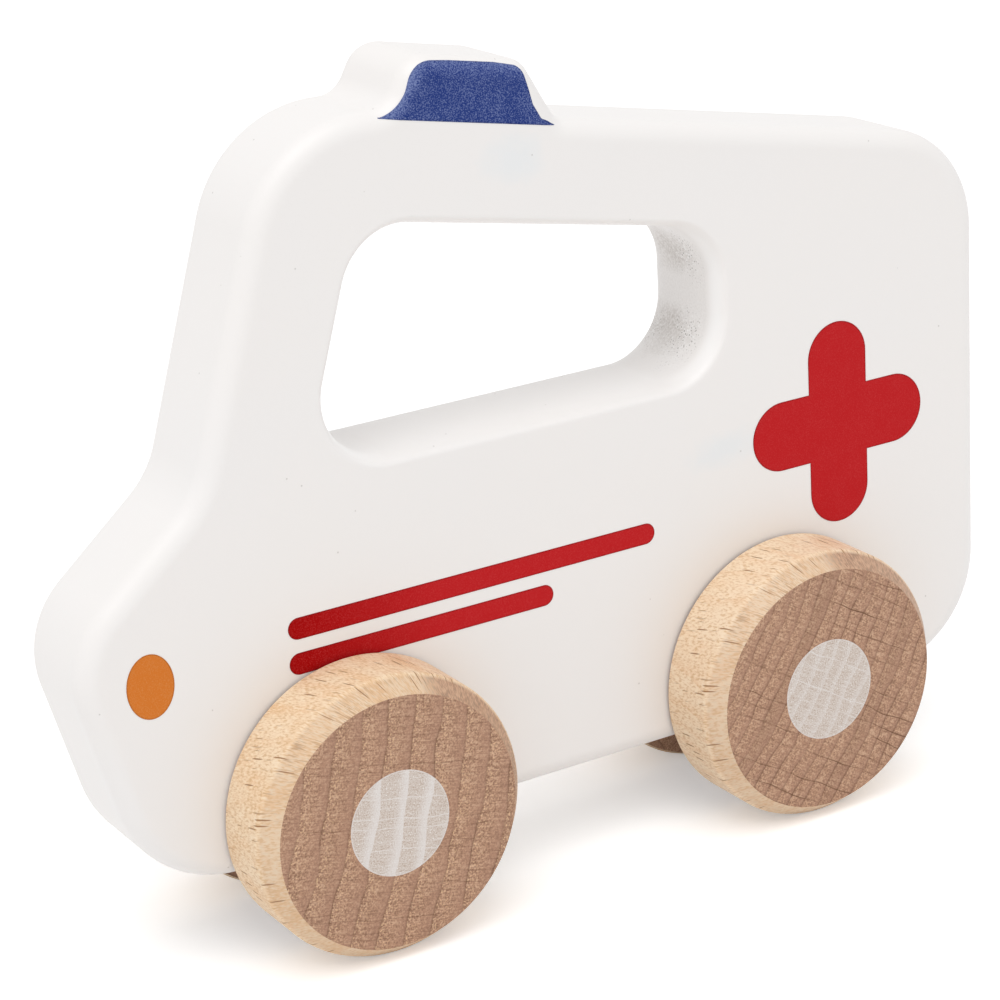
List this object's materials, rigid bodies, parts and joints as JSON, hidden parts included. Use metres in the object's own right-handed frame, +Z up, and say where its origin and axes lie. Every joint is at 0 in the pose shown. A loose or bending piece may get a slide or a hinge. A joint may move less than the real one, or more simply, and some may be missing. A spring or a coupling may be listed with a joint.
{
  "type": "toy ambulance",
  "caption": "Push-along wooden toy ambulance: a thick rounded board with a grip window and roof beacon, rolling on dowel axles with glued turned wheels.",
  "frame": {"origin": "on the floor under the middle of the board", "axes": "+X forwards to the nose, +Y to the toy's left side, +Z up"},
  "size_m": [0.154, 0.0436, 0.1237],
  "materials": {
    "painted_board": "satin white paint",
    "dowel": "bare",
    "wheel_wood": "oiled, turned"
  },
  "bodies": {
    "board": {"body": "painted_board"},
    "front_wheelset": {"front_axle": "dowel", "wheel_front_left": "wheel_wood", "wheel_front_right": "wheel_wood"},
    "rear_wheelset": {"rear_axle": "dowel", "wheel_rear_left": "wheel_wood", "wheel_rear_right": "wheel_wood"}
  },
  "joints": [
    {"name": "front_wheels_roll", "type": "hinge", "parent": "board", "child": "front_wheelset", "pos_m": [0.0372, 0, 0.021], "axis": [0, 1, 0], "continuous": true},
    {"name": "rear_wheels_roll", "type": "hinge", "parent": "board", "child": "rear_wheelset", "pos_m": [-0.0372, 0, 0.021], "axis": [0, 1, 0], "continuous": true}
  ]
}
